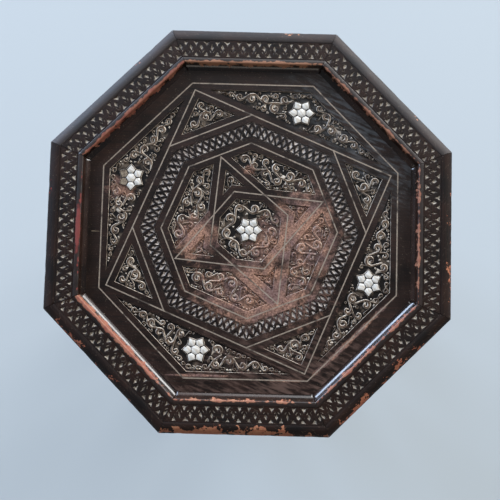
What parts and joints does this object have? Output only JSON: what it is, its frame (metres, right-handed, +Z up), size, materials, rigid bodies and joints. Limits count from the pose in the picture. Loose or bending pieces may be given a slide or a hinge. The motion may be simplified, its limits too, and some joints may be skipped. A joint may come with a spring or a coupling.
{
  "type": "octagonal side table",
  "caption": "Octagonal side table with a carved, wire-inlaid tray top, shell stars and an arched underframe on corner posts.",
  "frame": {"origin": "on the floor, under the centre of the octagon", "axes": "+Z up; two opposite sides of the octagon face +X and -X, two face +Y and -Y"},
  "size_m": [0.4, 0.4, 0.46],
  "materials": {
    "stained_walnut": "dark stained and waxed walnut, worn at the edges",
    "mother_of_pearl": null,
    "inlay_wire": "dull tin alloy wire, scraped flush",
    "bare_pine": "unfinished softwood, darkened by age",
    "iron": "dark oxidised iron"
  },
  "bodies": {
    "root": {"field_board_north": "stained_walnut", "field_board_south": "stained_walnut", "rim_moulding_1": "stained_walnut", "rim_moulding_2": "stained_walnut", "rim_moulding_3": "stained_walnut", "rim_moulding_4": "stained_walnut", "rim_moulding_5": "stained_walnut", "rim_moulding_6": "stained_walnut", "rim_moulding_7": "stained_walnut", "rim_moulding_8": "stained_walnut", "wire_outer_octagon": "inlay_wire", "wire_great_square": "inlay_wire", "wire_corner_cuts": "inlay_wire", "wire_inner_octagon": "inlay_wire", "wire_rhombi": "inlay_wire", "rail_wires": "inlay_wire", "pearl_star_centre": "mother_of_pearl", "pearl_star_north": "mother_of_pearl", "pearl_star_west": "mother_of_pearl", "pearl_star_south": "mother_of_pearl", "pearl_star_east": "mother_of_pearl", "rail_stars": "mother_of_pearl", "corner_post_1": "stained_walnut", "corner_post_2": "stained_walnut", "corner_post_3": "stained_walnut", "corner_post_4": "stained_walnut", "corner_post_5": "stained_walnut", "corner_post_6": "stained_walnut", "corner_post_7": "stained_walnut", "corner_post_8": "stained_walnut", "frieze_rail_1": "stained_walnut", "frieze_rail_2": "stained_walnut", "frieze_rail_3": "stained_walnut", "frieze_rail_4": "stained_walnut", "frieze_rail_5": "stained_walnut", "frieze_rail_6": "stained_walnut", "frieze_rail_7": "stained_walnut", "frieze_rail_8": "stained_walnut", "arch_board_1": "stained_walnut", "arch_board_2": "stained_walnut", "arch_board_3": "stained_walnut", "arch_board_4": "stained_walnut", "arch_board_5": "stained_walnut", "arch_board_6": "stained_walnut", "arch_board_7": "stained_walnut", "arch_board_8": "stained_walnut", "bearer_east": "bare_pine", "bearer_west": "bare_pine", "glue_blocks": "bare_pine", "bearer_nails": "iron", "rim_nails": "iron"}
  },
  "joints": []
}
